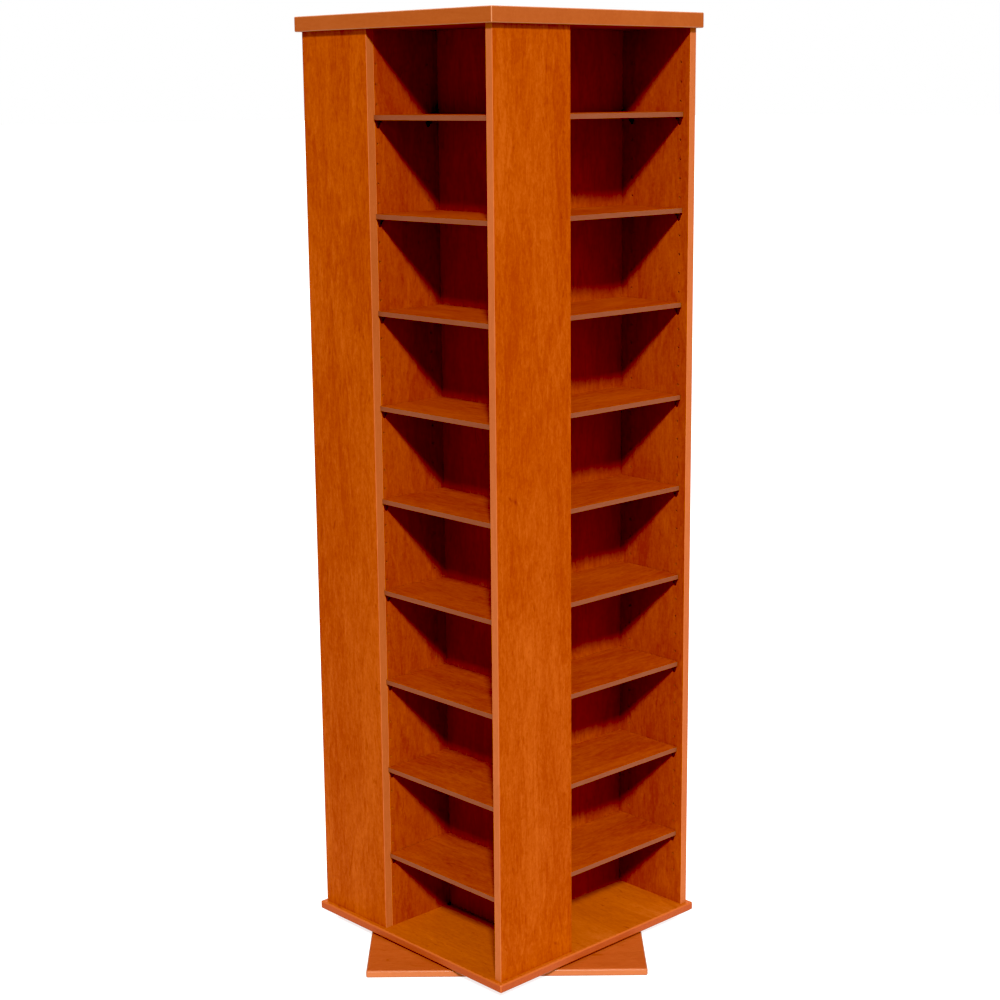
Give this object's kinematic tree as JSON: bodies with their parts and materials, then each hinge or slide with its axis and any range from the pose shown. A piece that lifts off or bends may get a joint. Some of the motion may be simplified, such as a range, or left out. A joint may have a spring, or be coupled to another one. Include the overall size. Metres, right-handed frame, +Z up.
{
  "type": "rotating media tower",
  "caption": "Tall square shelf tower on a ball-bearing turntable, with an open column of bays on each of its four faces for upright disc cases.",
  "frame": {"origin": "on the floor, on the tower's vertical spin axis", "axes": "+Z up; the tower's faces look along -Y (front), +X (right), +Y (back) and -X (left); the base board stands turned 46.7 degrees about +Z"},
  "size_m": [0.6814, 0.6814, 1.613],
  "materials": {
    "cherry_board": "satin cherry wood-grain laminate",
    "cherry_shelf": "satin cherry wood-grain laminate with an edge band",
    "dowel_wood": "plain beech",
    "clip_plastic": "dark brown moulded plastic",
    "zinc_plate": "zinc-plated pressed steel",
    "screw_steel": "zinc-plated",
    "ball_steel": "polished bearing steel",
    "cage_plastic": "natural white plastic"
  },
  "bodies": {
    "base": {"base_panel": "cherry_board", "turntable_lower_plate": "zinc_plate", "lower_plate_screws": "screw_steel", "pivot_rivet": "screw_steel"},
    "ball_ring": {"bearing_balls": "ball_steel", "ball_cage": "cage_plastic"},
    "tower": {"turntable_upper_plate": "zinc_plate", "upper_plate_screws": "screw_steel", "panel_dowels": "dowel_wood", "bottom_panel": "cherry_board", "top_panel": "cherry_board", "side_panel_front": "cherry_board", "side_panel_right": "cherry_board", "side_panel_back": "cherry_board", "side_panel_left": "cherry_board", "partition_front": "cherry_board", "partition_right": "cherry_board", "partition_back": "cherry_board", "partition_left": "cherry_board", "shelf_front_1": "cherry_shelf", "shelf_front_2": "cherry_shelf", "shelf_front_3": "cherry_shelf", "shelf_front_4": "cherry_shelf", "shelf_front_5": "cherry_shelf", "shelf_front_6": "cherry_shelf", "shelf_front_7": "cherry_shelf", "shelf_front_8": "cherry_shelf", "shelf_front_9": "cherry_shelf", "shelf_right_1": "cherry_shelf", "shelf_right_2": "cherry_shelf", "shelf_right_3": "cherry_shelf", "shelf_right_4": "cherry_shelf", "shelf_right_5": "cherry_shelf", "shelf_right_6": "cherry_shelf", "shelf_right_7": "cherry_shelf", "shelf_right_8": "cherry_shelf", "shelf_right_9": "cherry_shelf", "shelf_back_1": "cherry_shelf", "shelf_back_2": "cherry_shelf", "shelf_back_3": "cherry_shelf", "shelf_back_4": "cherry_shelf", "shelf_back_5": "cherry_shelf", "shelf_back_6": "cherry_shelf", "shelf_back_7": "cherry_shelf", "shelf_back_8": "cherry_shelf", "shelf_back_9": "cherry_shelf", "shelf_left_1": "cherry_shelf", "shelf_left_2": "cherry_shelf", "shelf_left_3": "cherry_shelf", "shelf_left_4": "cherry_shelf", "shelf_left_5": "cherry_shelf", "shelf_left_6": "cherry_shelf", "shelf_left_7": "cherry_shelf", "shelf_left_8": "cherry_shelf", "shelf_left_9": "cherry_shelf", "shelf_clips_front": "clip_plastic", "shelf_clips_right": "clip_plastic", "shelf_clips_back": "clip_plastic", "shelf_clips_left": "clip_plastic"}
  },
  "joints": [
    {"name": "tower_spin", "type": "hinge", "parent": "base", "child": "tower", "pos_m": [0, 0, 0.017], "axis": [0, 0, 1], "continuous": true},
    {"name": "ball_ring_spin", "type": "hinge", "parent": "base", "child": "ball_ring", "pos_m": [0, 0, 0.017], "axis": [0, 0, 1], "continuous": true}
  ],
  "couplings": [
    {"joint": "ball_ring_spin", "follows": "tower_spin", "ratio": 0.5}
  ]
}
